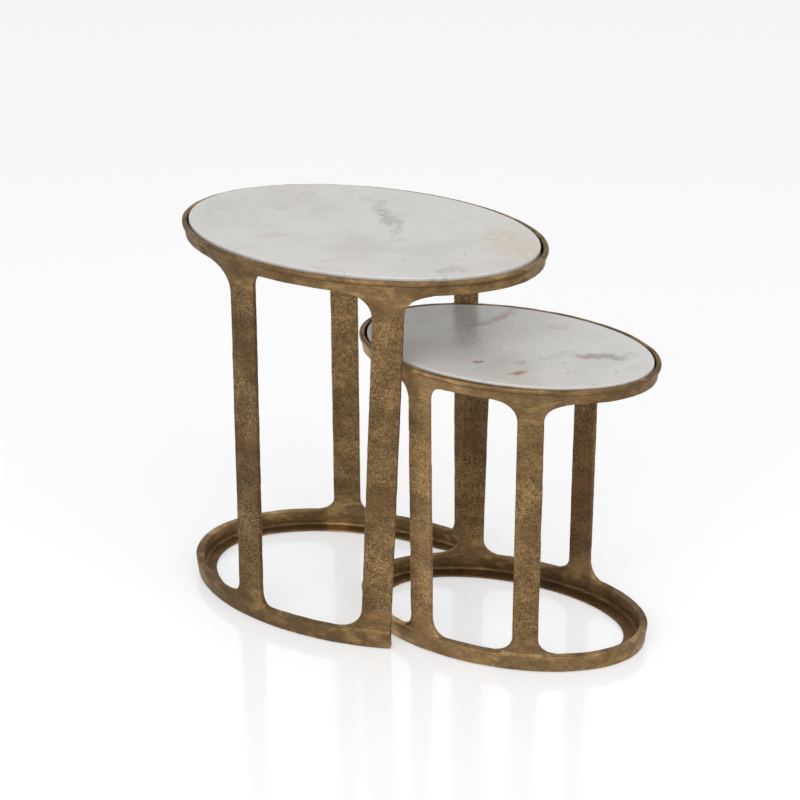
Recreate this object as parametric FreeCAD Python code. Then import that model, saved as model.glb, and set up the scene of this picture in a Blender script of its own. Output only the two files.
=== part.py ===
"""Set of two oval nesting tables: cast metal frames with drop-in marble tops.

Units are millimetres, +Z is up, and the long axis of both tops lies along X. The origin
is on the floor, at the middle of the footprint of the set with the small table pulled out.

Each frame is a top ring and a base ring with short stubs, and four flat leg bars welded
between the stubs. The base of the large table is open at its +X end and its flange runs
straight there, so that the small table slides in between the two right legs.
"""
import FreeCAD, Part
import math
import os
from dataclasses import dataclass

from FreeCAD import Vector

# --- frames --------------------------------------------------------------------------
WALL = 9.0              # thickness of the legs and of the ring walls
LEG_INSET = 4.0         # outer face of the legs, in from the edge of the rim
RIM_HEIGHT = 21.0       # top ring, from its underside to its rim
LIP_HEIGHT = 7.0        # rolled lip round the rim
RIM_WIDTH = 8.0         # flat top of the rim, beside the marble
LEDGE_WIDTH = 17.0      # shelf that carries the marble
LEDGE_THICK = 5.0
BASE_HEIGHT = 26.0      # top of the base ring's wall, above the floor
BASE_TOP_INSET = 0.5    # outer face of the base ring at its top
BASE_FOOT_INSET = 3.5   # and at its foot
FLANGE_THICK = 4.0
OPEN_ARM_HALF_GAP = 133.0   # straight flange edges at the open end of the large base
STUB_TOP = 15.0         # stub below the top ring, down to the weld
STUB_BASE = 15.0        # stub above the base ring, up to the weld
DRAIN_RADIUS = 1.3      # drain hole through the wall of the small base ring
DRAIN_ANGLE = 92.0
DRAIN_HEIGHT = 12.0

RIM_ROUND = 2.2         # rounding of the lip's outer edges
RING_ROUND = 1.2        # rounding of the other edges of the rings
LEG_ROUND = 1.6         # rounding of the long edges of a leg

# --- marble and pads -----------------------------------------------------------------
MARBLE_ROUND = 2.0
MARBLE_GAP = 2.4        # clearance between the slab and the rim
BUMPER_INSET = 18.0     # middle of a bumper, in from the edge of the rim
BUMPER_RADIUS = 5.0
BUMPER_THICK = 1.0
FLOOR_PAD_RADIUS = 6.5
FLOOR_PAD_THICK = 0.8
FLOOR_PAD_INSET = 18.5  # middle of a floor pad, in from the edge of the rim

LEG_CUT_DEPTH = 45.0    # how far a leg's outline is pushed in and out to cut the shell
LONG_EDGE = 60.0        # an edge of a leg that rises more than this runs along the leg
OVERRUN = 10.0          # how far cutters run past what they cut


@dataclass
class Leg:
    """A leg, by the angle of its top on the oval, with its own lean and flares.

    A flare is how far the leg spreads along a ring and how far that reaches along the
    leg, on the side towards the end of the table or towards its middle.
    """
    name: str
    angle: float
    width: float
    lean: float = 0.0            # how far the foot is round the oval, anticlockwise
    end_top: tuple = (46.0, 34.0)
    mid_top: tuple = (14.0, 17.0)
    end_foot: tuple = (38.0, 24.0)
    mid_foot: tuple = (15.0, 22.0)


@dataclass
class Table:
    """One table, by its overall sizes and the place of its middle on the floor."""
    name: str
    half_length: float
    half_width: float
    height: float
    centre: Vector
    marble_thick: float
    marble_shift: float
    bumpers: int
    floor_pads: tuple
    flange_reach: float     # width of the base ring on the floor
    legs: tuple
    open_end: bool = False


PULLED_OUT = Vector(211.0, -10.5, 0)       # small table, seen from the large one
LARGE_HALF_LENGTH = 253.0
SMALL_HALF_LENGTH = 204.0
LARGE_CENTRE = Vector((LARGE_HALF_LENGTH - PULLED_OUT.x - SMALL_HALF_LENGTH) / 2, 0, 0)

LARGE = Table(
    name="large", half_length=LARGE_HALF_LENGTH, half_width=167.0, height=530.0,
    centre=LARGE_CENTRE, marble_thick=17.5, marble_shift=-0.8, bumpers=8,
    floor_pads=(-73.0, -115.0, -150.0, 180.0, 150.0, 115.0, 71.0), flange_reach=27.0,
    open_end=True,
    legs=(
        Leg("front_left", -114.5, 41.5, lean=-2.0, end_top=(55.0, 38.0)),
        Leg("front_right", -65.5, 41.5, lean=-18.5, end_top=(50.0, 26.0),
            mid_top=(50.0, 38.0), end_foot=None, mid_foot=(40.0, 34.0)),
        Leg("back_left", 113.1, 40.0, lean=-2.0, end_foot=(42.0, 22.0), mid_foot=(34.0, 24.0)),
        Leg("back_right", 69.6, 39.0, lean=-7.0, end_foot=None)))

SMALL = Table(
    name="small", half_length=SMALL_HALF_LENGTH, half_width=130.5, height=408.0,
    centre=LARGE_CENTRE + PULLED_OUT, marble_thick=16.2, marble_shift=0.8, bumpers=6,
    floor_pads=(0.0, 60.0, 120.0, 180.0, 240.0, 300.0), flange_reach=30.0,
    legs=(
        Leg("front_left", -112.6, 34.0, lean=6.0, end_top=(32.0, 28.0), mid_top=(22.0, 24.0),
            end_foot=(26.0, 22.0), mid_foot=(24.0, 26.0)),
        Leg("front_right", -67.6, 35.0, end_top=(48.0, 26.0), mid_top=(40.0, 30.0),
            end_foot=(32.0, 22.0), mid_foot=(30.0, 25.0)),
        Leg("back_left", 115.3, 35.0, lean=6.0, end_top=(30.0, 24.0), end_foot=(44.0, 28.0),
            mid_foot=(40.0, 26.0)),
        Leg("back_right", 69.2, 34.5, end_top=(36.0, 22.0), end_foot=(34.0, 28.0),
            mid_foot=(40.0, 24.0))))


# --- ovals ---------------------------------------------------------------------------
def oval_wire(table, inset, z):
    """The oval of a table's rim, drawn in by inset, at height z."""
    oval = Part.Ellipse(Vector(0, 0, z), table.half_length - inset, table.half_width - inset)
    return Part.Wire([oval.toShape()])


def oval_solid(table, *sections):
    """A solid whose oval outline follows (inset, z) sections from the bottom up."""
    return Part.makeLoft([oval_wire(table, inset, z) for inset, z in sections], True, True)


def oval_frame(table, angle, inset=0.0):
    """The point at an angle on a table's oval, with the outward normal and tangent there."""
    cosine, sine = math.cos(math.radians(angle)), math.sin(math.radians(angle))
    normal = Vector(cosine / table.half_length, sine / table.half_width, 0).normalize()
    point = Vector(table.half_length * cosine, table.half_width * sine, 0) - normal * inset
    return point, normal, Vector(-normal.y, normal.x, 0)


def round_ovals(shape, table, radius, *places):
    """Round the closed oval edges of a shape that lie at the given (inset, z) places."""
    chosen = []
    for edge in shape.Edges:
        box = edge.BoundBox
        for inset, z in places:
            level = abs(box.ZMin - z) < 0.01 and abs(box.ZMax - z) < 0.01
            if level and abs(box.XMax - (table.half_length - inset)) < 0.05:
                chosen.append(edge)
    return shape.makeFillet(radius, chosen)


# --- legs ----------------------------------------------------------------------------
def leg_side(leg, side, top, foot, low, high):
    """One long edge of a leg with its flares, from the ring below to the ring above."""
    def across(z):
        return side * leg.width / 2 + leg.lean * (high - z) / (high - low)

    start = Vector(across(low), low, 0)
    end = Vector(across(high), high, 0)
    edges = []
    if foot:
        spread, reach = foot
        on_leg = Vector(across(low + reach), low + reach, 0)
        curve = Part.BezierCurve()
        curve.setPoles([start + Vector(side * spread, 0, 0), start, on_leg])
        edges.append(curve.toShape())
        start = on_leg
    if top:
        spread, reach = top
        on_leg = Vector(across(high - reach), high - reach, 0)
        curve = Part.BezierCurve()
        curve.setPoles([on_leg, end, end + Vector(side * spread, 0, 0)])
        edges.append(Part.makeLine(start, on_leg))
        edges.append(curve.toShape())
    else:
        edges.append(Part.makeLine(start, end))
    return edges


def leg_outline(leg, low, high):
    """The closed outline of a leg between two heights, along the oval and up."""
    end_is_anticlockwise = leg.angle % 180.0 > 90.0
    if end_is_anticlockwise:
        left = leg_side(leg, -1, leg.mid_top, leg.mid_foot, low, high)
        right = leg_side(leg, 1, leg.end_top, leg.end_foot, low, high)
    else:
        left = leg_side(leg, -1, leg.end_top, leg.end_foot, low, high)
        right = leg_side(leg, 1, leg.mid_top, leg.mid_foot, low, high)
    bottom = Part.makeLine(left[0].Vertexes[0].Point, right[0].Vertexes[0].Point)
    top = Part.makeLine(left[-1].Vertexes[-1].Point, right[-1].Vertexes[-1].Point)
    return Part.Wire(Part.__sortEdges__([bottom, top] + left + right))


def leg_shape(table, leg):
    """A whole leg with its flares, cut out of the oval shell that all four legs follow."""
    low, high = BASE_HEIGHT, table.height - RIM_HEIGHT
    point, normal, tangent = oval_frame(table, leg.angle, LEG_INSET + WALL / 2)
    upright = FreeCAD.Matrix(tangent.x, 0, normal.x, point.x - normal.x * LEG_CUT_DEPTH,
                             tangent.y, 0, normal.y, point.y - normal.y * LEG_CUT_DEPTH,
                             0, 1, 0, 0)
    face = Part.Face(leg_outline(leg, low, high).transformGeometry(upright))
    block = face.extrude(normal * 2 * LEG_CUT_DEPTH)
    shell = oval_solid(table, (LEG_INSET, low), (LEG_INSET, high)).cut(
        oval_solid(table, (LEG_INSET + WALL, low), (LEG_INSET + WALL, high)))
    leg_solid = shell.common(block)
    long_edges = [edge for edge in leg_solid.Edges if edge.BoundBox.ZLength > LONG_EDGE]
    return leg_solid.makeFillet(LEG_ROUND, long_edges)


def slab_between(table, low, high):
    """A block that covers the whole table between two heights."""
    reach = table.half_length + OVERRUN
    return Part.makeBox(2 * reach, 2 * reach, high - low, Vector(-reach, -reach, low))


# --- rings ---------------------------------------------------------------------------
def top_ring(table):
    """The top casting: a rolled rim round a ledge for the marble."""
    top, bottom = table.height, table.height - RIM_HEIGHT
    lip = oval_solid(table, (0, top - LIP_HEIGHT), (0, top))
    lip = round_ovals(lip, table, RIM_ROUND, (0, top - LIP_HEIGHT), (0, top))
    wall = oval_solid(table, (LEG_INSET, bottom), (LEG_INSET - 1.0, top - LIP_HEIGHT / 2))
    recess = oval_solid(table, (RIM_WIDTH, bottom + LEDGE_THICK), (RIM_WIDTH, top + OVERRUN))
    hole = oval_solid(table, (RIM_WIDTH + LEDGE_WIDTH, bottom - OVERRUN),
                      (RIM_WIDTH + LEDGE_WIDTH, top))
    ring = wall.fuse(lip).cut(recess).cut(hole).removeSplitter()
    return round_ovals(ring, table, RING_ROUND, (RIM_WIDTH, top),
                       (RIM_WIDTH + LEDGE_WIDTH, bottom + LEDGE_THICK))


def base_ring(table):
    """The base casting: a low wall on a flat flange that reaches inwards."""
    foot, top = FLOOR_PAD_THICK, BASE_HEIGHT
    floor_level = foot + FLANGE_THICK
    wall = oval_solid(table, (BASE_FOOT_INSET, foot), (BASE_TOP_INSET, top))
    inner = LEG_INSET + WALL
    hollow = oval_solid(table, (inner, floor_level), (inner, top + OVERRUN))
    reach = BASE_FOOT_INSET + table.flange_reach
    hole = oval_solid(table, (reach, foot - OVERRUN), (reach, top))
    if table.open_end:
        arms = Part.makeBox(table.half_length + OVERRUN, 2 * OPEN_ARM_HALF_GAP, top,
                            Vector(0, -OPEN_ARM_HALF_GAP, foot - OVERRUN))
        hole = hole.fuse(arms)
    ring = wall.cut(hollow).cut(hole)
    return round_ovals(ring, table, RING_ROUND, (inner, top))


def open_end_cutter(table):
    """What is taken off the base of the large table, flush with its two right legs."""
    corners = []
    for leg in table.legs:
        if not leg.name.endswith("right"):
            continue
        point, normal, tangent = oval_frame(table, leg.angle, LEG_INSET + WALL / 2)
        side = 1 if leg.angle < 0 else -1
        edge = point + tangent * (side * leg.width / 2 + leg.lean)
        pair = [edge - normal * LEG_CUT_DEPTH, edge + normal * LEG_CUT_DEPTH]
        corners.append(pair)
    (front_in, front_out), (back_in, back_out) = corners
    beyond = table.half_length + OVERRUN
    outline = [front_in, front_out, Vector(beyond, front_out.y, 0),
               Vector(beyond, back_out.y, 0), back_out, back_in, front_in]
    return Part.Face(Part.makePolygon(outline)).extrude(Vector(0, 0, BASE_HEIGHT))


def drain_hole(table):
    """A small hole through the back wall of a base ring, along the wall's normal."""
    point, normal, _ = oval_frame(table, DRAIN_ANGLE, LEG_INSET + WALL + OVERRUN)
    return Part.makeCylinder(DRAIN_RADIUS, WALL + 2 * OVERRUN,
                             point + Vector(0, 0, DRAIN_HEIGHT), normal)


# --- one table -----------------------------------------------------------------------
def frame_parts(table):
    """The castings and leg bars of one frame, by node name."""
    top, base = top_ring(table), base_ring(table)
    if table.open_end:
        base = base.cut(open_end_cutter(table))
    else:
        base = base.cut(drain_hole(table))
    weld_low = BASE_HEIGHT + STUB_BASE
    weld_high = table.height - RIM_HEIGHT - STUB_TOP
    parts = {}
    for leg in table.legs:
        whole = leg_shape(table, leg)
        base = base.fuse(whole.common(slab_between(table, 0, weld_low)))
        top = top.fuse(whole.common(slab_between(table, weld_high, table.height)))
        bar = whole.common(slab_between(table, weld_low, weld_high))
        parts["leg_" + leg.name] = bar
    parts["top_ring"] = top.removeSplitter()
    parts["base_ring"] = base.removeSplitter()
    return parts


def marble_top(table):
    """The slab that drops into the rim and rests on the bumpers."""
    inset = RIM_WIDTH + MARBLE_GAP
    bottom = table.height - RIM_HEIGHT + LEDGE_THICK + BUMPER_THICK
    top = bottom + table.marble_thick
    slab = oval_solid(table, (inset, bottom), (inset, top))
    slab = round_ovals(slab, table, MARBLE_ROUND, (inset, top))
    slab.translate(Vector(table.marble_shift, 0, 0))
    return slab


def discs(table, angles, inset, z, radius, thick):
    """Flat round pads at angles round the oval, as a group of separate solids."""
    pads = []
    for angle in angles:
        point, _, _ = oval_frame(table, angle, inset)
        pads.append(Part.makeCylinder(radius, thick, point + Vector(0, 0, z)))
    return Part.makeCompound(pads)


def table_parts(table):
    """Every piece of one table, by node name, with the middle of the table at the origin."""
    parts = frame_parts(table)
    parts["marble_top"] = marble_top(table)
    bumper_angles = [360.0 * (i + 0.5) / table.bumpers for i in range(table.bumpers)]
    parts["marble_bumpers"] = discs(
        table, bumper_angles, BUMPER_INSET, table.height - RIM_HEIGHT + LEDGE_THICK,
        BUMPER_RADIUS, BUMPER_THICK)
    parts["floor_pads"] = discs(
        table, table.floor_pads, FLOOR_PAD_INSET, 0, FLOOR_PAD_RADIUS, FLOOR_PAD_THICK)
    return parts


def main():
    os.makedirs("parts", exist_ok=True)
    for table in (LARGE, SMALL):
        for name, shape in table_parts(table).items():
            shape.translate(table.centre)
            shape.exportStep("parts/%s_%s.step" % (table.name, name))
            print("%s_%s: valid %s, %d solid(s), %.0f mm3" % (
                table.name, name, shape.isValid(), len(shape.Solids), shape.Volume))


main()
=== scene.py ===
"""Looks of a set of two oval nesting tables: cast frames in antique brass, marble tops.

Each frame is finished as one casting, with its rings and legs welded and ground together,
and is then parted at its welds into the rings and the leg bars that it is made of.
Everything is in metres, +Z up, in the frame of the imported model.
"""
import math

import bpy
from bpy.props import (EnumProperty, FloatProperty, FloatVectorProperty, IntProperty,
                       PointerProperty)
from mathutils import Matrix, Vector


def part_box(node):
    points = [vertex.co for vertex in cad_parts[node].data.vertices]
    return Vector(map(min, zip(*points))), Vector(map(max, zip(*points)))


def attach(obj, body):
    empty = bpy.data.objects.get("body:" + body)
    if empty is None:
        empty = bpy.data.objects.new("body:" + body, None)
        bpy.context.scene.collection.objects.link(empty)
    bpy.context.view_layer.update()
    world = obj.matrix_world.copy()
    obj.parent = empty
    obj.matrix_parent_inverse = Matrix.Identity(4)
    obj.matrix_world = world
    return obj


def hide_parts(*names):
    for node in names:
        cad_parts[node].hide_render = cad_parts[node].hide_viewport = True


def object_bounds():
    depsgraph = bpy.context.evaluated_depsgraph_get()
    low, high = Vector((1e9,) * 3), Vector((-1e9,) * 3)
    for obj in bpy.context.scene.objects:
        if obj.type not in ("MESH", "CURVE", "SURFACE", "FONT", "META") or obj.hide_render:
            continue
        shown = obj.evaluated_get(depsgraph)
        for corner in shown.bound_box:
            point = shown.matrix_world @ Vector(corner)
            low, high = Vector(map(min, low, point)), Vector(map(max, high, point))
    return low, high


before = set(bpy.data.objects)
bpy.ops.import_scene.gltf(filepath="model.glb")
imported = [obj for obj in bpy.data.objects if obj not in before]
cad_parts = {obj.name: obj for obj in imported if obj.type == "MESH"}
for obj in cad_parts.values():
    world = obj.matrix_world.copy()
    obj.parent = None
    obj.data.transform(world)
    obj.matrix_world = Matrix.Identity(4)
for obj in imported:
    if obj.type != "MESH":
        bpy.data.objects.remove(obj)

bl_info = {
    "name": "Nesting tables",
    "version": (1, 0, 0),
    "blender": (4, 5, 0),
    "location": "3D View > Sidebar > Nesting Tables",
    "description": "Builds two oval nesting tables with cast frames and marble tops",
    "category": "Object",
}

CAD_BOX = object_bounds()
RINGS = ("top_ring", "base_ring")
LEGS = ("leg_front_left", "leg_front_right", "leg_back_left", "leg_back_right")
TABLES = (("large", "Large", "The taller table"), ("small", "Small", "The lower table"))
WHITE = (1.0, 1.0, 1.0, 1.0)
BRASS = "antique_brass_finish"

# Ways from a table's middle to its legs, in the order of LEGS, and a painted light and shade
# level for each leg: the brass colour near a leg is multiplied by it, which lightens or darkens
# the leg to stand in for the light that reaches it. The fall sets how quickly one level gives
# way to the next.
LEG_WAYS = tuple(Vector(way).normalized() for way in ((-1, -2), (1, -2), (-1, 2), (1, 2)))
# painted light and shade: above 1 paints a leg lit, below 1 paints it shaded
PAINTED_LIGHT_BY_LEG = {"large": (0.84, 1.02, 1.12, 0.85), "small": (1.55, 1.02, 0.85, 0.80)}
PAINTED_LIGHT_FALL = 6

SLAB_SIDES = 256        # facets round a slab
EDGE_SEGMENTS = 7       # facets across the polished edge
ARRIS_SEGMENTS = 2
SAME_HEIGHT = 1e-5      # vertices this close in height are on one rim

FLOOR_GLOW = 0.50       # share of the seen floor that is plain white
FLOOR_GLOSS = 0.10      # share of the floor that mirrors
SENSOR_WIDTH = 36.0

# Name, place and size of each soft lamp. Its power is the stage setting for its side.
LAMPS = (
    ("key", (1.0, -1.0, 2.2), (2.4, 1.8)),
    ("front", (-0.3, -2.7, 1.5), (2.4, 1.6)),
    ("side", (2.3, -0.9, 1.2), (0.9, 1.8)),
)


# --- what a user would change --------------------------------------------------------
class CastingSettings(bpy.types.PropertyGroup):
    """Sizes of the cast frames' skin."""
    skin_step: FloatProperty(
        name="Skin step", description="Size of the facets of the cast skin",
        default=0.0014, min=0.001, max=0.004, unit="LENGTH")
    soften: IntProperty(
        name="Soften", description="How often the skin is smoothed, which eases its edges",
        default=3, min=0, max=10)
    wave_depth: FloatProperty(
        name="Wave depth", description="Depth of the hollows left by the sand mould",
        default=0.0009, min=0.0, max=0.003, unit="LENGTH")
    wave_size: FloatProperty(
        name="Wave size", description="Size of the hollows left by the sand mould",
        default=0.028, min=0.005, max=0.1, unit="LENGTH")
    ripple_depth: FloatProperty(
        name="Ripple depth", description="Depth of the small ripples in the skin",
        default=0.00035, min=0.0, max=0.002, unit="LENGTH")
    ripple_size: FloatProperty(
        name="Ripple size", description="Size of the small ripples in the skin",
        default=0.008, min=0.002, max=0.03, unit="LENGTH")
    ground_reach: FloatProperty(
        name="Ground reach", description="How far along a leg the weld is ground smooth",
        default=0.022, min=0.0, max=0.1, unit="LENGTH")


class BrassSettings(bpy.types.PropertyGroup):
    """Colours and grain of the antique brass finish."""
    patina: FloatVectorProperty(
        name="Patina", description="Dark patina left in the hollows",
        subtype="COLOR", default=(0.035, 0.018, 0.007), min=0.0, max=1.0)
    brass: FloatVectorProperty(
        name="Brass", description="The finish over most of the casting",
        subtype="COLOR", default=(0.208, 0.133, 0.062), min=0.0, max=1.0)
    rubbed: FloatVectorProperty(
        name="Rubbed", description="Bright brass where the patina is rubbed off",
        subtype="COLOR", default=(0.430, 0.275, 0.115), min=0.0, max=1.0)
    copper: FloatVectorProperty(
        name="Copper", description="Reddish tint of the finish in places",
        subtype="COLOR", default=(0.170, 0.085, 0.040), min=0.0, max=1.0)
    pebble_size: FloatProperty(
        name="Pebble size", description="Size of the pebbles of the sand cast grain",
        default=0.0023, min=0.0005, max=0.01, unit="LENGTH")
    pebble_depth: FloatProperty(
        name="Pebble depth", description="Depth of the sand cast grain",
        default=0.0008, min=0.0, max=0.003, unit="LENGTH")
    roughness: FloatProperty(
        name="Roughness", description="How dull the rubbed brass is",
        subtype="FACTOR", default=0.42, min=0.0, max=1.0)


class MarbleSettings(bpy.types.PropertyGroup):
    """Colours of the marble and the shape of the slab's edge."""
    stone: FloatVectorProperty(
        name="Stone", description="The white of the stone",
        subtype="COLOR", default=(0.497, 0.486, 0.465), min=0.0, max=1.0)
    cloud: FloatVectorProperty(
        name="Cloud", description="Soft grey clouds in the stone",
        subtype="COLOR", default=(0.405, 0.401, 0.394), min=0.0, max=1.0)
    cream: FloatVectorProperty(
        name="Cream", description="Warm stains in the stone",
        subtype="COLOR", default=(0.440, 0.376, 0.291), min=0.0, max=1.0)
    grey: FloatVectorProperty(
        name="Grey", description="Grey patches and streaks",
        subtype="COLOR", default=(0.199, 0.188, 0.174), min=0.0, max=1.0)
    rust: FloatVectorProperty(
        name="Rust", description="Rusty veins and spots",
        subtype="COLOR", default=(0.327, 0.192, 0.142), min=0.0, max=1.0)
    edge_round: FloatProperty(
        name="Edge round", description="Radius of the polished upper edge",
        default=0.0028, min=0.0005, max=0.008, unit="LENGTH")
    arris: FloatProperty(
        name="Arris", description="Small chamfer of the lower edge",
        default=0.0008, min=0.0001, max=0.003, unit="LENGTH")


class StageSettings(bpy.types.PropertyGroup):
    """The camera, the floor and the lamps."""
    azimuth: FloatProperty(
        name="Azimuth", description="Way the camera looks, from +Y towards -X",
        subtype="ANGLE", default=math.radians(23.85))
    pitch: FloatProperty(
        name="Pitch", description="How far the camera looks down",
        subtype="ANGLE", default=math.radians(24.91))
    distance: FloatProperty(
        name="Distance", description="From the camera to the point that it looks at",
        default=3.06, min=0.5, unit="LENGTH")
    aim: FloatVectorProperty(
        name="Aim", description="The point that the camera looks at, from the middle of the set",
        subtype="TRANSLATION", default=(-0.0165, -0.0245, 0.0414), unit="LENGTH")
    focal_length: FloatProperty(
        name="Focal length", description="Focal length of the camera",
        subtype="DISTANCE_CAMERA", default=103.65, min=20.0, max=300.0)
    floor_size: FloatProperty(
        name="Floor size", description="Side of the floor", default=30.0, unit="LENGTH")
    fill: FloatProperty(
        name="Fill", description="Level of the even light from all round",
        default=0.82, min=0.0, max=2.0)
    dim: FloatProperty(
        name="Dim front", description="Level of the room that the metal mirrors at the front",
        default=0.12, min=0.0, max=1.0)
    key_power: FloatProperty(
        name="Key power", description="Power of the large lamp above",
        subtype="POWER", default=16.0, min=0.0)
    front_power: FloatProperty(
        name="Front power", description="Power of the soft lamp in front",
        subtype="POWER", default=32.0, min=0.0)
    side_power: FloatProperty(
        name="Side power", description="Power of the tall lamp at the right",
        subtype="POWER", default=9.0, min=0.0)


SETTINGS = (
    ("nesting_casting", CastingSettings),
    ("nesting_brass", BrassSettings),
    ("nesting_marble", MarbleSettings),
    ("nesting_stage", StageSettings),
)


# --- helpers -------------------------------------------------------------------------
def only(*objects):
    """Select just these objects, and make the first one active."""
    if bpy.context.object and bpy.context.object.mode != "OBJECT":
        bpy.ops.object.mode_set(mode="OBJECT")
    bpy.ops.object.select_all(action="DESELECT")
    for item in objects:
        item.select_set(True)
    bpy.context.view_layer.objects.active = objects[0]


def node_copy(node, name):
    """A new piece with its own merged copy of a node's mesh."""
    piece = bpy.data.objects.new(name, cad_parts[node].data.copy())
    bpy.context.scene.collection.objects.link(piece)
    only(piece)
    bpy.ops.object.mode_set(mode="EDIT")
    bpy.ops.mesh.select_all(action="SELECT")
    bpy.ops.mesh.remove_doubles(threshold=1e-6)
    bpy.ops.object.mode_set(mode="OBJECT")
    return piece


def duplicate(piece, name):
    """Another piece with its own copy of a piece's mesh."""
    twin = bpy.data.objects.new(name, piece.data.copy())
    bpy.context.scene.collection.objects.link(twin)
    return twin


def apply_modifier(piece, kind, **values):
    """Add a modifier to a piece and apply it."""
    only(piece)
    bpy.ops.object.modifier_add(type=kind)
    modifier = piece.modifiers[-1]
    for key, value in values.items():
        setattr(modifier, key, value)
    bpy.ops.object.modifier_apply(modifier=modifier.name)


def keep_side(piece, height, above):
    """Cut a piece at a height, and close what is left above or below the cut."""
    only(piece)
    bpy.ops.object.mode_set(mode="EDIT")
    bpy.ops.mesh.select_all(action="SELECT")
    bpy.ops.mesh.bisect(plane_co=(0, 0, height), plane_no=(0, 0, 1), use_fill=True,
                        clear_inner=above, clear_outer=not above, threshold=1e-7)
    bpy.ops.object.mode_set(mode="OBJECT")


def dress(piece, material, body, slot, *nodes):
    """Give a finished piece its material and its body, and hide the nodes it stands for. The
    slot is not used.
    """
    piece.data.materials.clear()
    piece.data.materials.append(material)
    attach(piece, body)
    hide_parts(*nodes)


# --- node helpers --------------------------------------------------------------------
class NodeTree:
    """A material's nodes, added one after another from left to right."""

    def __init__(self, name):
        self.material = bpy.data.materials.new(name)
        self.material.use_nodes = True
        self.start(self.material.node_tree, "ShaderNodeOutputMaterial")

    @classmethod
    def of(cls, tree, output):
        """The nodes of another kind of tree, such as a world's."""
        made = cls.__new__(cls)
        made.start(tree, output)
        return made

    def start(self, tree, output):
        self.tree = tree
        self.tree.nodes.clear()
        self.output = self.add(output)

    def add(self, kind, inputs=None, **values):
        """Add a node, set its values, and link or set its inputs."""
        node = self.tree.nodes.new(kind)
        node.location = (180 * len(self.tree.nodes), 0)
        for key, value in values.items():
            setattr(node, key, value)
        for key, value in (inputs or {}).items():
            if isinstance(value, bpy.types.NodeSocket):
                self.tree.links.new(value, node.inputs[key])
            else:
                node.inputs[key].default_value = value
        return node

    def coordinates(self):
        """Places in the object's own space, in metres."""
        return self.add("ShaderNodeTexCoord").outputs["Object"]

    def noise(self, vector, size, detail=2.0, roughness=0.5, distortion=0.0):
        """Noise with features of a size in metres, from 0 to 1."""
        return self.add("ShaderNodeTexNoise", {
            "Vector": vector, "Scale": 1.0 / size, "Detail": detail,
            "Roughness": roughness, "Distortion": distortion}).outputs["Fac"]

    def stretched(self, vector, stretch, turn=0.0, centre=(0, 0, 0)):
        """Coordinates for a pattern that is stretched, turned in degrees and centred."""
        return self.add("ShaderNodeMapping", {
            "Vector": vector, "Scale": stretch, "Rotation": (0, 0, math.radians(turn)),
            "Location": centre}, vector_type="TEXTURE").outputs["Vector"]

    def steps(self, value, low, high, start=0.0, end=1.0):
        """A smooth step of a value, from start at low to end at high."""
        return self.add("ShaderNodeMapRange", {
            "Value": value, "From Min": low, "From Max": high, "To Min": start,
            "To Max": end}, interpolation_type="SMOOTHSTEP").outputs["Result"]

    def math(self, operation, a, b=0.0):
        """One sum on two numbers."""
        return self.add("ShaderNodeMath", {0: a, 1: b}, operation=operation).outputs[0]

    def mix(self, factor, a, b, blend="MIX"):
        """A colour that goes from a to b as factor goes from 0 to 1."""
        node = self.add("ShaderNodeMix", {"Factor": factor}, data_type="RGBA",
                        blend_type=blend)
        for socket, value in (("A_Color", a), ("B_Color", b)):
            found = next(item for item in node.inputs if item.identifier == socket)
            if isinstance(value, bpy.types.NodeSocket):
                self.tree.links.new(value, found)
            else:
                found.default_value = value
        return next(item for item in node.outputs if item.identifier == "Result_Color")

    def blend(self, share, a, b):
        """A number that goes from a to b as share goes from 0 to 1."""
        return self.add("ShaderNodeMapRange", {
            "Value": share, "To Min": a, "To Max": b}).outputs["Result"]

    def bump(self, height, distance, strength=1.0, normal=None):
        """A bumped normal, on top of another one if it is given."""
        inputs = {"Height": height, "Distance": distance, "Strength": strength}
        if normal:
            inputs["Normal"] = normal
        return self.add("ShaderNodeBump", inputs).outputs["Normal"]

    def principled(self, **inputs):
        """The surface shader, with its inputs by name, underscores for spaces."""
        named = {key.replace("_", " "): value for key, value in inputs.items()}
        shader = self.add("ShaderNodeBsdfPrincipled", named)
        self.tree.links.new(shader.outputs["BSDF"], self.output.inputs["Surface"])


def colour(values):
    """A colour setting as a four-part colour."""
    return (*values, 1.0)


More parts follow.
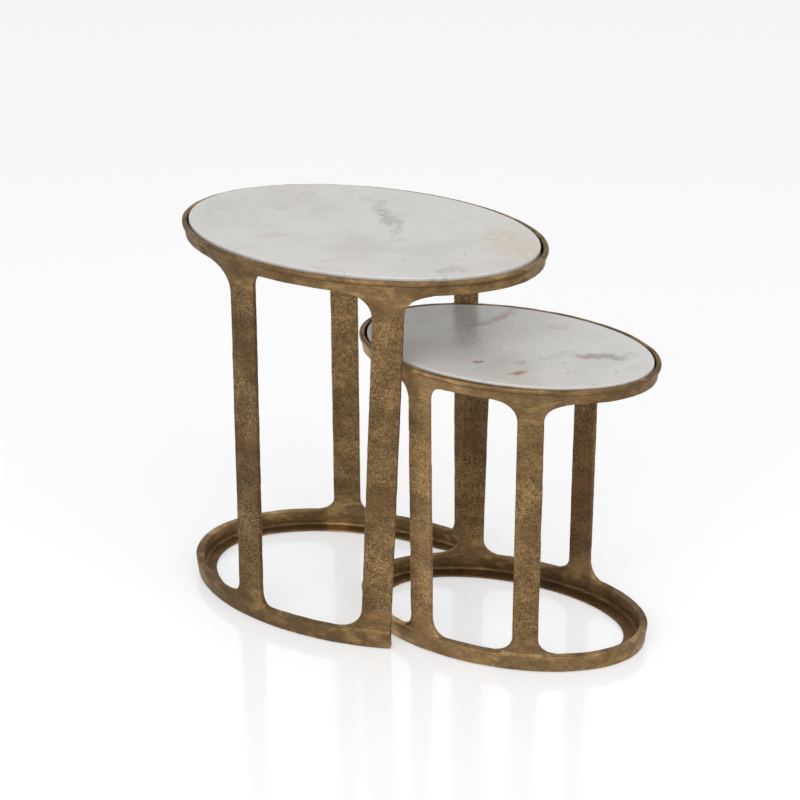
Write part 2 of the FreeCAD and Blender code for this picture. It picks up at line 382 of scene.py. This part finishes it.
# --- materials -----------------------------------------------------------------------
def antique_brass(settings):
    """Cast metal with an antique brass finish: pebbled where it is raw, brushed where ground.

    The attribute "ground" is 1 on the rings and the welds and 0 on the raw leg bars, and a
    second attribute is a painted light and shade level, given for each leg, which the colour is
    multiplied by.
    """
    nodes = NodeTree(BRASS)
    place = nodes.coordinates()
    ground = nodes.add("ShaderNodeAttribute", attribute_name="ground").outputs["Fac"]
    # painted light and shade: the level for each leg that lightens or darkens its brass
    tone = nodes.add("ShaderNodeAttribute", attribute_name="tone").outputs["Fac"]
    pebbles = nodes.noise(place, settings.pebble_size, 1.0, 0.5, 0.7)
    grit = nodes.noise(place, settings.pebble_size * 0.3, 2.0)
    mottle = nodes.noise(place, 0.030, 4.0, 0.6, 0.4)
    stain = nodes.noise(place, 0.090, 3.0, 0.55, 0.6)
    fine_lines = nodes.stretched(place, (1.0, 1.0, 0.10))
    brushed = nodes.noise(fine_lines, 0.012, 3.0, 0.6, 0.3)
    patches = nodes.noise(nodes.stretched(place, (1.0, 1.0, 0.4)), 0.038, 3.0, 0.6, 0.5)
    pits = nodes.add("ShaderNodeTexVoronoi", {
        "Vector": place, "Scale": 80.0, "Randomness": 1.0}).outputs["Distance"]
    coarse = nodes.math("MULTIPLY", nodes.steps(stain, 0.36, 0.56, 0.65, 1.0),
                        nodes.blend(ground, 1.0, 0.35))

    hollows = nodes.math("MULTIPLY", nodes.steps(pebbles, 0.36, 0.56, 0.52, 0.0), coarse)
    metal = nodes.mix(hollows, colour(settings.brass), colour(settings.patina))
    peaks = nodes.math("MULTIPLY", nodes.steps(pebbles, 0.52, 0.70, 0.0, 0.45), coarse)
    metal = nodes.mix(peaks, metal, colour(settings.rubbed))

    lines = nodes.math("MULTIPLY", nodes.steps(brushed, 0.34, 0.50, 0.30, 0.0), ground)
    metal = nodes.mix(lines, metal, colour(settings.patina))
    worn = nodes.math("MULTIPLY", nodes.steps(patches, 0.48, 0.66, 0.0, 0.6),
                      nodes.steps(brushed, 0.40, 0.60, 0.5, 1.0))
    worn = nodes.math("MULTIPLY", worn, nodes.blend(ground, 0.35, 1.0))
    metal = nodes.mix(worn, metal, colour(settings.rubbed))

    level = nodes.math("MULTIPLY", nodes.steps(mottle, 0.38, 0.62, 0.84, 1.12),
                       nodes.steps(stain, 0.40, 0.60, 0.84, 1.10))
    # painted light and shade: each leg's brass is lightened or darkened by its own level
    level = nodes.math("MULTIPLY", level, tone)
    level = nodes.add("ShaderNodeCombineColor", {0: level, 1: level, 2: level}).outputs[0]
    metal = nodes.mix(1.0, metal, level, "MULTIPLY")
    reddish = nodes.noise(place, 0.055, 3.0, 0.6, 0.8)
    metal = nodes.mix(nodes.steps(reddish, 0.52, 0.66, 0.0, 0.35), metal,
                      colour(settings.copper))
    pit = nodes.math("MULTIPLY", nodes.steps(pits, 0.06, 0.12, 0.7, 0.0),
                     nodes.steps(mottle, 0.52, 0.60))
    metal = nodes.mix(pit, metal, colour(settings.patina))
    edge = nodes.add("ShaderNodeNewGeometry").outputs["Pointiness"]
    metal = nodes.mix(nodes.steps(edge, 0.40, 0.48, 0.85, 0.0), metal,
                      colour(settings.patina))
    rim = nodes.math("MULTIPLY", nodes.steps(edge, 0.53, 0.60, 0.0, 0.35),
                     nodes.steps(mottle, 0.42, 0.58))
    metal = nodes.mix(rim, metal, colour(settings.rubbed))

    roughness = nodes.steps(metal, 0.02, 0.20, 0.66, settings.roughness)
    pebble_bump = nodes.bump(pebbles, settings.pebble_depth, coarse)
    brush_bump = nodes.bump(brushed, 0.0003, ground, pebble_bump)
    skin = nodes.bump(grit, 0.00015, 0.5, brush_bump)
    nodes.principled(Base_Color=metal, Metallic=1.0, Roughness=roughness, Normal=skin)
    return nodes.material


def patch(nodes, place, centre, size, turn, grain):
    """A soft oval stain in the stone, of a size and turn, made ragged by a grain."""
    spot = nodes.stretched(place, (*size, 1.0), turn, (*centre, 0.0))
    ball = nodes.add("ShaderNodeTexGradient", {"Vector": spot},
                     gradient_type="SPHERICAL").outputs["Fac"]
    ragged = nodes.math("MULTIPLY", ball, nodes.steps(grain, 0.34, 0.60, 0.25, 1.4))
    return nodes.steps(ragged, 0.05, 0.80)


def marble(name, settings, middle, stains):
    """Polished white stone with soft clouds, fine veins, and the stains of one slab.

    A stain is its colour, its place from the slab's middle, its size, its turn in degrees
    and its strength.
    """
    nodes = NodeTree(name)
    place = nodes.add("ShaderNodeVectorMath", {
        0: nodes.coordinates(), 1: (-middle.x, -middle.y, -middle.z)}).outputs[0]
    warp = nodes.add("ShaderNodeTexNoise", {"Vector": place, "Scale": 22.0,
                                            "Detail": 4.0}).outputs["Color"]
    warp = nodes.add("ShaderNodeVectorMath", {0: warp, 1: (-0.5, -0.5, -0.5)}).outputs[0]
    warp = nodes.add("ShaderNodeVectorMath", {0: warp, "Scale": 0.045},
                     operation="SCALE").outputs[0]
    warped = nodes.add("ShaderNodeVectorMath", {0: place, 1: warp}).outputs[0]
    flat = nodes.add("ShaderNodeVectorMath", {0: warped, 1: (1.0, 1.0, 0.0)},
                     operation="MULTIPLY").outputs[0]

    clouds = nodes.noise(warped, 0.085, 5.0, 0.6, 0.3)
    stone = nodes.mix(nodes.steps(clouds, 0.44, 0.66, 0.0, 0.5),
                      colour(settings.stone), colour(settings.cloud))
    warmth = nodes.noise(warped, 0.160, 3.0, 0.5)
    stone = nodes.mix(nodes.steps(warmth, 0.50, 0.68, 0.0, 0.22), stone,
                      colour(settings.cream))
    drawn = nodes.stretched(warped, (3.6, 1.0, 1.0), 20.0)
    veins = nodes.noise(drawn, 0.040, 4.0, 0.55)
    veins = nodes.math("ABSOLUTE", nodes.math("SUBTRACT", veins, 0.5))
    faint = nodes.noise(place, 0.060, 2.0)
    veins = nodes.math("MULTIPLY", nodes.steps(veins, 0.0, 0.018, 0.30, 0.0),
                       nodes.steps(faint, 0.48, 0.62))
    stone = nodes.mix(veins, stone, colour(settings.grey))
    grain = nodes.noise(warped, 0.012, 5.0, 0.65)
    fine = nodes.noise(place, 0.0032, 3.0, 0.6)
    for tint, centre, size, turn, strength in stains:
        factor = patch(nodes, flat, centre, size, turn, grain)
        stone = nodes.mix(nodes.math("MULTIPLY", factor, strength), stone,
                          colour(getattr(settings, tint)))
    stone = nodes.mix(nodes.steps(fine, 0.35, 0.65, 0.0, 0.03), stone,
                      colour(settings.cloud))
    gloss = nodes.steps(fine, 0.3, 0.7, 0.20, 0.30)
    nodes.principled(Base_Color=stone, Roughness=gloss,
                     Normal=nodes.bump(clouds, 0.0002, 0.15))
    return nodes.material


def bumper_rubber():
    """Clear soft rubber with a little dust in it."""
    nodes = NodeTree("bumper_rubber")
    dust = nodes.noise(nodes.coordinates(), 0.0015, 3.0)
    tint = nodes.mix(dust, (0.60, 0.60, 0.57, 1.0), (0.78, 0.78, 0.75, 1.0))
    nodes.principled(Base_Color=tint, Roughness=nodes.steps(dust, 0.3, 0.7, 0.28, 0.5),
                     Normal=nodes.bump(dust, 0.0001, 0.4), Transmission_Weight=0.35)
    return nodes.material


def pad_felt():
    """Pressed dark felt."""
    nodes = NodeTree("pad_felt")
    place = nodes.coordinates()
    fibres = nodes.noise(nodes.stretched(place, (1.0, 0.3, 1.0), 40.0), 0.0009, 4.0, 0.7, 1.5)
    tint = nodes.mix(fibres, (0.030, 0.027, 0.024, 1.0), (0.11, 0.10, 0.09, 1.0))
    nodes.principled(Base_Color=tint, Roughness=0.95, Sheen_Weight=0.5,
                     Normal=nodes.bump(fibres, 0.0004, 0.8))
    return nodes.material


def glossy_floor():
    """A white glossy floor that stays white in the picture and keeps soft shadows."""
    nodes = NodeTree("floor_white")
    path = nodes.add("ShaderNodeLightPath")
    seen = nodes.math("MAXIMUM", path.outputs["Is Camera Ray"], path.outputs["Is Glossy Ray"])
    seen = nodes.math("MAXIMUM", seen, path.outputs["Is Transmission Ray"])
    paint = nodes.add("ShaderNodeBsdfDiffuse", {"Color": (0.93, 0.93, 0.94, 1.0)}).outputs[0]
    white = nodes.add("ShaderNodeEmission", {"Color": WHITE, "Strength": 1.0}).outputs[0]
    lit = nodes.add("ShaderNodeMixShader", {
        0: nodes.math("MULTIPLY", seen, FLOOR_GLOW), 1: paint, 2: white}).outputs[0]
    gloss = nodes.add("ShaderNodeBsdfGlossy", {"Color": WHITE, "Roughness": 0.12}).outputs[0]
    floor = nodes.add("ShaderNodeMixShader", {0: FLOOR_GLOSS, 1: lit, 2: gloss}).outputs[0]
    nodes.tree.links.new(floor, nodes.output.inputs["Surface"])
    return nodes.material


def white_world(fill, dim):
    """White where it is seen, an even fill, and a room that mirrors dim at the front.

    A mirrored ray meets the white backdrop behind and above the set, and the dimmer room
    low in front of it.
    """
    world = bpy.data.worlds.new("studio_white")
    bpy.context.scene.world = world
    world.use_nodes = True
    nodes = NodeTree.of(world.node_tree, "ShaderNodeOutputWorld")
    path = nodes.add("ShaderNodeLightPath")
    way = nodes.add("ShaderNodeTexCoord").outputs["Generated"]
    behind = nodes.add("ShaderNodeVectorMath", {0: way, 1: (-0.35, 0.60, 0.72)},
                       operation="DOT_PRODUCT").outputs["Value"]
    room = nodes.steps(behind, -0.75, 0.55, dim, 1.0)
    mirrored = nodes.math("MAXIMUM", path.outputs["Is Glossy Ray"],
                          path.outputs["Is Transmission Ray"])
    level = nodes.blend(mirrored, fill, room)
    level = nodes.blend(path.outputs["Is Camera Ray"], level, 1.0)
    light = nodes.add("ShaderNodeBackground", {"Color": WHITE, "Strength": level})
    nodes.tree.links.new(light.outputs["Background"], nodes.output.inputs["Surface"])


# --- frames --------------------------------------------------------------------------
def box_middle(piece):
    """The middle of a piece's box."""
    corners = [Vector(corner) for corner in piece.bound_box]
    return (corners[0] + corners[6]) / 2


def mark_finish_and_painted_light(casting, low, high, reach, leg_light_levels):
    """Write the attributes that the finish reads.

    "ground" is 1 on the rings and round the welds and 0 on the raw bars, and the second
    attribute is painted light and shade: a level that lightens or darkens the brass, given for
    each leg and blended between the legs.
    """
    middle = box_middle(casting)
    ground, tone = [], []
    for vertex in casting.data.vertices:
        height = vertex.co.z
        inside = min(height - low, high - height)
        share = min(max((reach - inside) / reach, 0.0), 1.0)
        ground.append(share * share * (3 - 2 * share))
        # painted light and shade: blend the legs' levels by the way this point lies from the
        # middle
        outward = (vertex.co - middle).to_2d().normalized()
        near = [max(outward.dot(way), 0.0) ** PAINTED_LIGHT_FALL for way in LEG_WAYS]
        tone.append(sum(part * level for part, level in zip(near, leg_light_levels)) / sum(near))
    for name, values in (("ground", ground), ("tone", tone)):
        attribute = casting.data.attributes.new(name, "FLOAT", "POINT")
        attribute.data.foreach_set("value", values)


def displace(piece, name, depth, size):
    """Sink a piece's skin here and there by up to a depth, in hollows of a size."""
    texture = bpy.data.textures.new(name, "CLOUDS")
    texture.noise_scale = size
    texture.noise_depth = 2
    apply_modifier(piece, "DISPLACE", texture=texture, texture_coords="LOCAL",
                   strength=depth, mid_level=1.0)


def frame_casting(table, settings):
    """The rings and legs of one frame as one closed skin."""
    copies = [node_copy(table + "_" + node, table + "_casting") for node in RINGS + LEGS]
    only(*copies)
    bpy.ops.object.join()
    casting = bpy.context.object
    apply_modifier(casting, "REMESH", mode="VOXEL", voxel_size=settings.skin_step,
                   use_smooth_shade=True)
    apply_modifier(casting, "SMOOTH", factor=0.5, iterations=settings.soften)
    displace(casting, "mould_hollows", settings.wave_depth, settings.wave_size)
    displace(casting, "skin_ripples", settings.ripple_depth, settings.ripple_size)
    return casting


class NESTING_OT_frame(bpy.types.Operator):
    """Build the cast frame of one table, parted at its welds into two rings and four legs"""
    bl_idname = "nesting.frame"
    bl_label = "Cast frame"
    bl_options = {"REGISTER", "UNDO"}

    table: EnumProperty(name="Table", description="Which table's frame", items=TABLES)

    def execute(self, context):
        settings = context.scene.nesting_casting
        material = bpy.data.materials.get(BRASS)
        if material is None:
            material = antique_brass(context.scene.nesting_brass)
        low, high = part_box(self.table + "_leg_front_left")
        weld_low, weld_high = low.z, high.z
        casting = frame_casting(self.table, settings)
        # writes the ground mask and the painted light and shade level of each leg
        mark_finish_and_painted_light(casting, weld_low, weld_high, settings.ground_reach,
                    PAINTED_LIGHT_BY_LEG[self.table])
        body = self.table + "_frame"

        for node, weld, above in zip(RINGS, (weld_high, weld_low), (True, False)):
            ring = duplicate(casting, self.table + "_" + node + "_cast")
            keep_side(ring, weld, above)
            dress(ring, material, body, "antique_brass", self.table + "_" + node)

        keep_side(casting, weld_low, above=True)
        keep_side(casting, weld_high, above=False)
        bpy.ops.mesh.separate(type="LOOSE")
        bars = list(context.selected_objects)
        if len(bars) != len(LEGS):
            raise RuntimeError("the casting parted into %d bars" % len(bars))
        for node in LEGS:
            lowest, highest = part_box(self.table + "_" + node)
            middle = (lowest + highest) / 2
            bar = min(bars, key=lambda item: (box_middle(item) - middle).length)
            bar.name = self.table + "_" + node + "_cast"
            dress(bar, material, body, "antique_brass", self.table + "_" + node)
        return {"FINISHED"}


# --- marble --------------------------------------------------------------------------
# Colour, place from the slab's middle, half sizes, turn in degrees and strength of the
# stains of each slab.
STAINS = {
    "large": (
        ("grey", (0.020, 0.048), (0.060, 0.020), -50.0, 0.55),
        ("grey", (-0.018, 0.088), (0.050, 0.014), -45.0, 0.30),
        ("grey", (0.048, 0.004), (0.030, 0.014), -60.0, 0.30),
        ("cream", (-0.090, -0.072), (0.050, 0.012), 25.0, 0.70),
        ("cream", (0.200, 0.030), (0.090, 0.060), -50.0, 0.75),
        ("grey", (0.166, -0.085), (0.034, 0.014), 20.0, 0.35),
        ("grey", (0.160, -0.118), (0.018, 0.010), 60.0, 0.38),
        ("cream", (-0.190, 0.020), (0.060, 0.035), 30.0, 0.18),
        ("cloud", (0.060, -0.060), (0.150, 0.020), 12.0, 0.45),
        ("cloud", (-0.150, -0.030), (0.100, 0.040), -20.0, 0.40),
    ),
    "small": (
        ("rust", (-0.048, 0.071), (0.064, 0.010), 70.0, 0.85),
        ("rust", (-0.020, -0.067), (0.014, 0.008), 20.0, 1.0),
        ("rust", (0.044, -0.076), (0.024, 0.009), 40.0, 1.0),
        ("grey", (0.120, 0.012), (0.062, 0.016), 20.0, 0.75),
        ("rust", (0.110, 0.008), (0.040, 0.010), 20.0, 0.60),
        ("rust", (0.042, 0.077), (0.026, 0.014), 0.0, 0.25),
        ("grey", (0.038, -0.046), (0.014, 0.010), 30.0, 0.38),
        ("cream", (-0.020, 0.020), (0.090, 0.045), 40.0, 0.25),
        ("cloud", (-0.080, -0.030), (0.080, 0.030), 30.0, 0.50),
    ),
}


def round_rim(slab, height, radius, segments):
    """Bevel the rim of a slab that lies at a height."""
    only(slab)
    bpy.ops.object.mode_set(mode="EDIT")
    bpy.ops.mesh.select_all(action="DESELECT")
    bpy.ops.object.mode_set(mode="OBJECT")
    vertices = slab.data.vertices
    for edge in slab.data.edges:
        edge.select = all(abs(vertices[i].co.z - height) < SAME_HEIGHT
                          for i in edge.vertices)
    bpy.ops.object.mode_set(mode="EDIT")
    bpy.ops.mesh.select_mode(type="EDGE")
    bpy.ops.mesh.bevel(offset=radius, segments=segments, profile=0.5)
    bpy.ops.object.mode_set(mode="OBJECT")


class NESTING_OT_marble(bpy.types.Operator):
    """Build the marble slab of one table, an oval with a polished upper edge"""
    bl_idname = "nesting.marble"
    bl_label = "Marble top"
    bl_options = {"REGISTER", "UNDO"}

    table: EnumProperty(name="Table", description="Which table's slab", items=TABLES)

    def execute(self, context):
        settings = context.scene.nesting_marble
        low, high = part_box(self.table + "_marble_top")
        size, middle = high - low, (low + high) / 2
        bpy.ops.object.select_all(action="DESELECT")
        bpy.ops.mesh.primitive_cylinder_add(vertices=SLAB_SIDES, radius=0.5, depth=1.0,
                                            location=middle, scale=size)
        slab = bpy.context.object
        slab.name = self.table + "_marble_slab"
        bpy.ops.object.transform_apply(location=True, rotation=True, scale=True)
        round_rim(slab, high.z, settings.edge_round, EDGE_SEGMENTS)
        round_rim(slab, low.z, settings.arris, ARRIS_SEGMENTS)
        only(slab)
        bpy.ops.object.shade_smooth_by_angle(angle=math.radians(35))
        material = marble(self.table + "_marble", settings, middle, STAINS[self.table])
        dress(slab, material, self.table + "_marble", "white_marble",
              self.table + "_marble_top")
        return {"FINISHED"}


class NESTING_OT_pads(bpy.types.Operator):
    """Finish the rubber bumpers under the slabs and the felt pads under the bases"""
    bl_idname = "nesting.pads"
    bl_label = "Bumpers and pads"
    bl_options = {"REGISTER", "UNDO"}

    def execute(self, context):
        rubber, felt = bumper_rubber(), pad_felt()
        for table, _, _ in TABLES:
            for node, material in (("marble_bumpers", rubber), ("floor_pads", felt)):
                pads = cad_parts[table + "_" + node]
                pads.data.materials.clear()
                pads.data.materials.append(material)
        return {"FINISHED"}


# --- stage ---------------------------------------------------------------------------
def area_lamp(name, place, aim, size, power):
    """A soft rectangular lamp that looks at a point."""
    bpy.ops.object.light_add(type="AREA", location=place)
    lamp = bpy.context.object
    lamp.name = name
    lamp.data.shape = "RECTANGLE"
    lamp.data.size, lamp.data.size_y = size
    lamp.data.energy = power
    lamp.rotation_euler = (aim - Vector(place)).to_track_quat("-Z", "Y").to_euler()


class NESTING_OT_stage(bpy.types.Operator):
    """Set up the white floor, the soft lamps and the camera"""
    bl_idname = "nesting.stage"
    bl_label = "Stage"
    bl_options = {"REGISTER", "UNDO"}

    def execute(self, context):
        settings = context.scene.nesting_stage
        middle = (CAD_BOX[0] + CAD_BOX[1]) / 2
        bpy.ops.object.select_all(action="DESELECT")
        bpy.ops.mesh.primitive_plane_add(size=settings.floor_size, location=(0, 0, 0))
        floor = bpy.context.object
        floor.name = "floor"
        floor.data.materials.append(glossy_floor())
        white_world(settings.fill, settings.dim)
        for side, place, size in LAMPS:
            power = getattr(settings, side + "_power")
            area_lamp(side + "_lamp", place, middle, size, power)

        aim = middle + Vector(settings.aim)
        back = Vector((math.sin(settings.azimuth) * math.cos(settings.pitch),
                       -math.cos(settings.azimuth) * math.cos(settings.pitch),
                       math.sin(settings.pitch)))
        turn = (math.pi / 2 - settings.pitch, 0, settings.azimuth)
        bpy.ops.object.camera_add(location=aim + back * settings.distance, rotation=turn)
        camera = bpy.context.object
        camera.data.lens = settings.focal_length
        camera.data.sensor_width = SENSOR_WIDTH
        context.scene.camera = camera
        context.scene.view_settings.view_transform = "Standard"
        return {"FINISHED"}


class NESTING_PT_panel(bpy.types.Panel):
    """Lists the pieces of the nesting tables"""
    bl_idname = "NESTING_PT_panel"
    bl_label = "Nesting Tables"
    bl_space_type = "VIEW_3D"
    bl_region_type = "UI"
    bl_category = "Nesting Tables"

    def draw(self, context):
        layout = self.layout
        for name, group in SETTINGS:
            box = layout.box()
            for key in group.__annotations__:
                box.prop(getattr(context.scene, name), key)
        for table, label, _ in TABLES:
            for operator in (NESTING_OT_frame, NESTING_OT_marble):
                text = label + " " + operator.bl_label.lower()
                layout.operator(operator.bl_idname, text=text).table = table
        layout.operator(NESTING_OT_pads.bl_idname)
        layout.operator(NESTING_OT_stage.bl_idname)


CLASSES = (NESTING_OT_frame, NESTING_OT_marble, NESTING_OT_pads, NESTING_OT_stage,
           NESTING_PT_panel)


def register():
    for name, group in SETTINGS:
        bpy.utils.register_class(group)
        setattr(bpy.types.Scene, name, PointerProperty(type=group))
    for item in CLASSES:
        bpy.utils.register_class(item)


def unregister():
    for item in reversed(CLASSES):
        bpy.utils.unregister_class(item)
    for name, group in reversed(SETTINGS):
        delattr(bpy.types.Scene, name)
        bpy.utils.unregister_class(group)


def main():
    register()
    for table, _, _ in TABLES:
        bpy.ops.nesting.frame(table=table)
        bpy.ops.nesting.marble(table=table)
    bpy.ops.nesting.pads()
    bpy.ops.nesting.stage()


if __name__ == "__main__":
    main()
